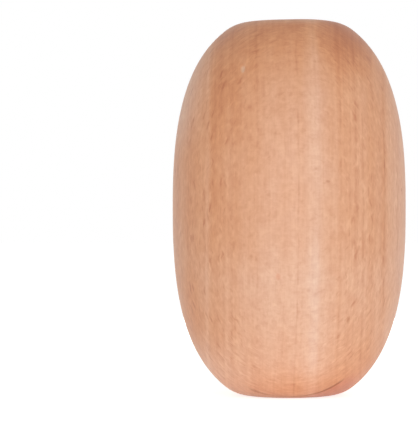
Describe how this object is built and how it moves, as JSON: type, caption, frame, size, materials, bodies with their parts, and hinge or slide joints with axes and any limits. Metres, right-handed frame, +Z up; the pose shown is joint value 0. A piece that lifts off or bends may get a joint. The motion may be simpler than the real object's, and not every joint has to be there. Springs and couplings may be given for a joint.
{
  "type": "darning egg",
  "caption": "Turned solid wooden darning egg with a full, rounded side and a small flat on each end.",
  "frame": {"origin": "centre of the foot flat, on the surface that the egg stands on", "axes": "+Z up along the turning axis from the foot flat to the top flat; +X across the growth layers, to the right as the picture shows the egg; +Y away from the viewer, along the growth layers"},
  "size_m": [0.06, 0.06, 0.096],
  "materials": {
    "wood": "beech, sanded fine and waxed to a soft satin"
  },
  "bodies": {
    "root": {"egg": "wood"}
  },
  "joints": []
}
